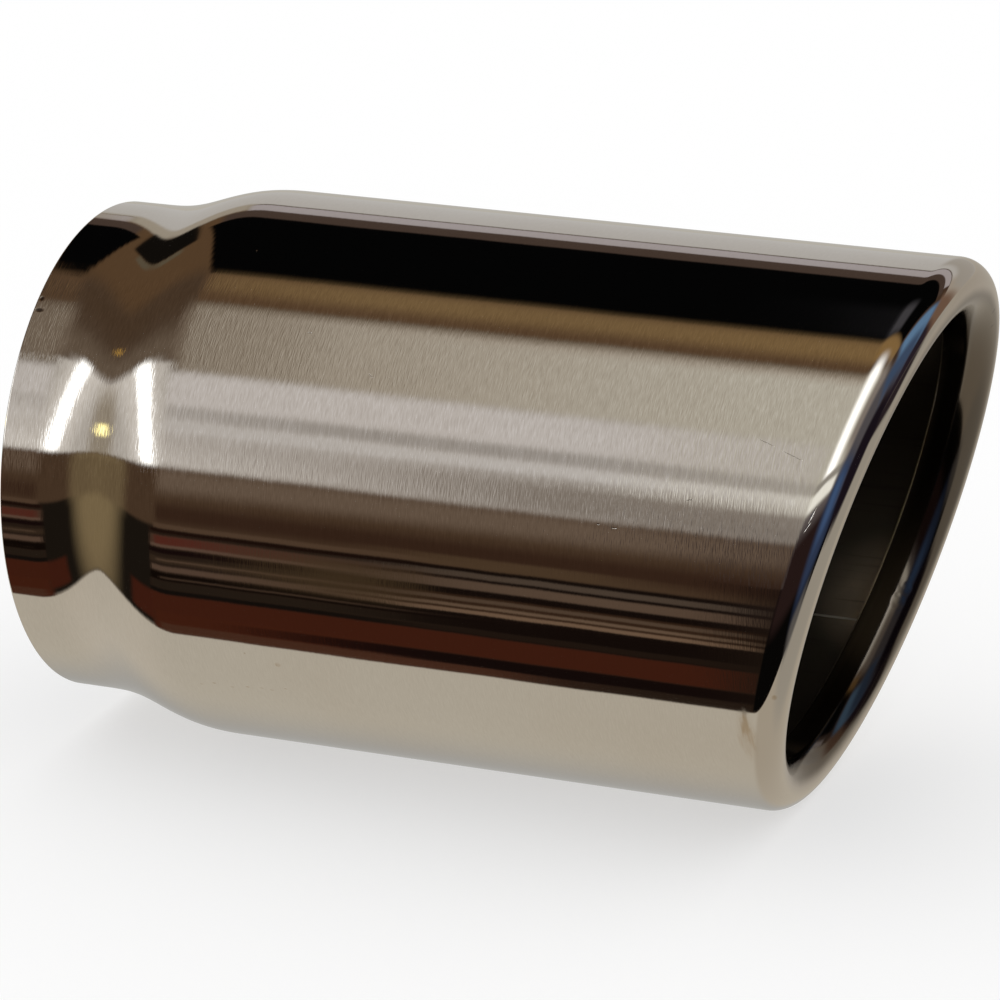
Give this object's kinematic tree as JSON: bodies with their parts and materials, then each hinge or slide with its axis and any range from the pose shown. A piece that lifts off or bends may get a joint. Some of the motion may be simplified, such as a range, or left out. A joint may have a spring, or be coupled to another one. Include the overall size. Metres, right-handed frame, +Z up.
{
  "type": "exhaust tip",
  "caption": "Round slant-cut exhaust tip of polished sheet, with a slip-on neck that flares into a straight body and a rolled-in lip round the mouth.",
  "frame": {"origin": "centre of the inlet neck's mouth, on the tube's axis", "axes": "+X along the axis from the inlet to the outlet, +Z up towards the long side of the slanted mouth, +Y to the left when looking from the inlet to the outlet"},
  "size_m": [0.1459, 0.0888, 0.0888],
  "materials": {
    "polished_steel": "stainless sheet, mirror polished over fine brushing marks that run round the tube"
  },
  "bodies": {
    "root": {"tip": "polished_steel"}
  },
  "joints": []
}
